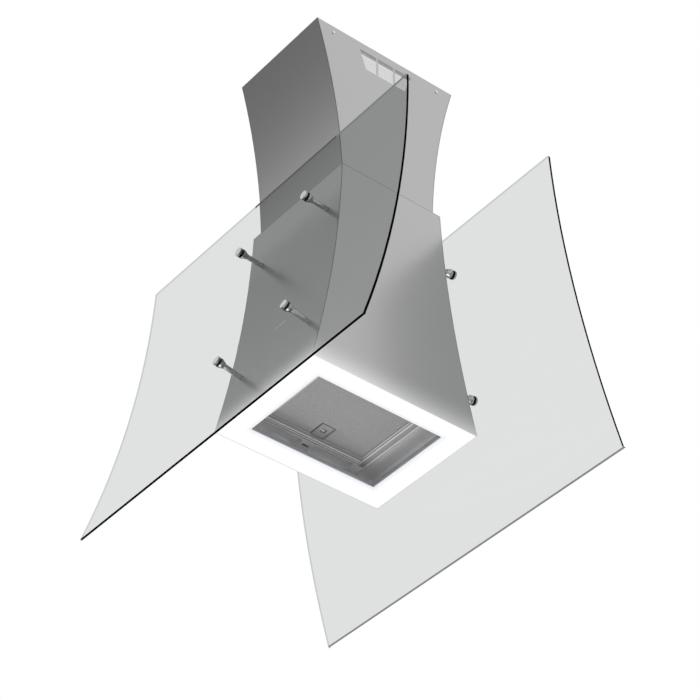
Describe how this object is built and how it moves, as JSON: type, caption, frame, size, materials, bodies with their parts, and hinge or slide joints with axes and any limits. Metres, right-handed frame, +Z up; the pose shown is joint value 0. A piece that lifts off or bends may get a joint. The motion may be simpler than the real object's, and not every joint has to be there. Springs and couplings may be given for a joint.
{
  "type": "curved glass range hood",
  "caption": "Ceiling-hung island hood: hourglass steel body and chimney cover between two bowed clear glass panels on rod standoffs, with a light panel and a grease filter below.",
  "frame": {"origin": "middle of the four ceiling anchor holes, in the ceiling plane", "axes": "+Z up into the ceiling, +X to the right seen from the front, -Y towards the side with the buttons"},
  "size_m": [0.8968, 0.6326, 1.099],
  "materials": {
    "brushed": "fine vertical brushing",
    "frame_steel": "galvanised sheet",
    "tray_steel": "satin",
    "zinc": "zinc plated",
    "filter_metal": "satin",
    "aluminium": "bare can",
    "polished": "polished",
    "opal": "opal, lit from behind",
    "circuit": "circuit board",
    "black_plastic": "moulded",
    "rubber": "matte",
    "clear_glass": "clear, polished edges"
  },
  "bodies": {
    "hood": {"ceiling_bracket": "frame_steel", "upright_front_left": "frame_steel", "upright_front_right": "frame_steel", "upright_back_left": "frame_steel", "upright_back_right": "frame_steel", "upright_ties": "frame_steel", "frame_bolts": "zinc", "top_plate": "frame_steel", "plate_tabs": "frame_steel", "chimney_front": "brushed", "chimney_back": "brushed", "chimney_left": "brushed", "chimney_right": "brushed", "chimney_screws": "brushed", "body_front": "brushed", "body_back": "brushed", "body_left": "brushed", "body_right": "brushed", "suction_tray": "tray_steel", "light_frame": "tray_steel", "light_diffuser": "opal", "led_strips": "circuit", "led_driver": "black_plastic", "scroll_left": "black_plastic", "scroll_right": "black_plastic", "motor": "zinc", "motor_bracket": "zinc", "vibration_mounts": "rubber", "capacitor": "aluminium", "blower_bolts": "zinc", "outlet_collar": "black_plastic", "flap_pins": "zinc", "control_housing": "black_plastic", "control_board": "circuit", "tact_switches": "black_plastic", "terminal_box": "zinc", "terminal_lid": "zinc", "cable_gland": "black_plastic", "front_glass": "clear_glass", "back_glass": "clear_glass", "standoff_rods": "polished", "standoff_caps": "polished", "standoff_collars": "polished", "glass_gaskets": "rubber", "standoff_nuts": "zinc"},
    "wheel": {"impeller": "black_plastic", "motor_shaft": "polished"},
    "front_flap": {"flap_front": "black_plastic"},
    "back_flap": {"flap_back": "black_plastic"},
    "filter": {"filter_frame": "filter_metal", "filter_mesh": "filter_metal", "latch_cup": "filter_metal"},
    "latch": {"filter_latch": "polished"},
    "press_1": {"button_1": "polished"},
    "press_2": {"button_2": "polished"},
    "press_3": {"button_3": "polished"},
    "press_4": {"button_4": "polished"},
    "press_5": {"button_5": "polished"}
  },
  "joints": [
    {"name": "impeller_spin", "type": "hinge", "parent": "hood", "child": "wheel", "pos_m": [0, -0.04041, -0.52804], "axis": [1, 0, 0], "continuous": true},
    {"name": "front_flap_swing", "type": "hinge", "parent": "hood", "child": "front_flap", "pos_m": [0, -0.004, -0.385], "axis": [-1, 0, 0], "range_deg": [0, 80]},
    {"name": "back_flap_swing", "type": "hinge", "parent": "hood", "child": "back_flap", "pos_m": [0, 0.004, -0.385], "axis": [1, 0, 0], "range_deg": [0, 80]},
    {"name": "filter_swing", "type": "hinge", "parent": "hood", "child": "filter", "pos_m": [0.097, 0, -0.8985], "axis": [0, -1, 0], "range_deg": [0, 75]},
    {"name": "latch_slide", "type": "slide", "parent": "filter", "child": "latch", "axis": [1, 0, 0], "range_m": [0, 0.006], "stiffness_N_per_m": 300},
    {"name": "button_1_press", "type": "slide", "parent": "hood", "child": "press_1", "axis": [0, 0.9863, -0.1649], "range_m": [0, 0.0008], "stiffness_N_per_m": 500},
    {"name": "button_2_press", "type": "slide", "parent": "hood", "child": "press_2", "axis": [0, 0.9863, -0.1649], "range_m": [0, 0.0008], "stiffness_N_per_m": 500},
    {"name": "button_3_press", "type": "slide", "parent": "hood", "child": "press_3", "axis": [0, 0.9863, -0.1649], "range_m": [0, 0.0008], "stiffness_N_per_m": 500},
    {"name": "button_4_press", "type": "slide", "parent": "hood", "child": "press_4", "axis": [0, 0.9863, -0.1649], "range_m": [0, 0.0008], "stiffness_N_per_m": 500},
    {"name": "button_5_press", "type": "slide", "parent": "hood", "child": "press_5", "axis": [0, 0.9863, -0.1649], "range_m": [0, 0.0008], "stiffness_N_per_m": 500}
  ]
}
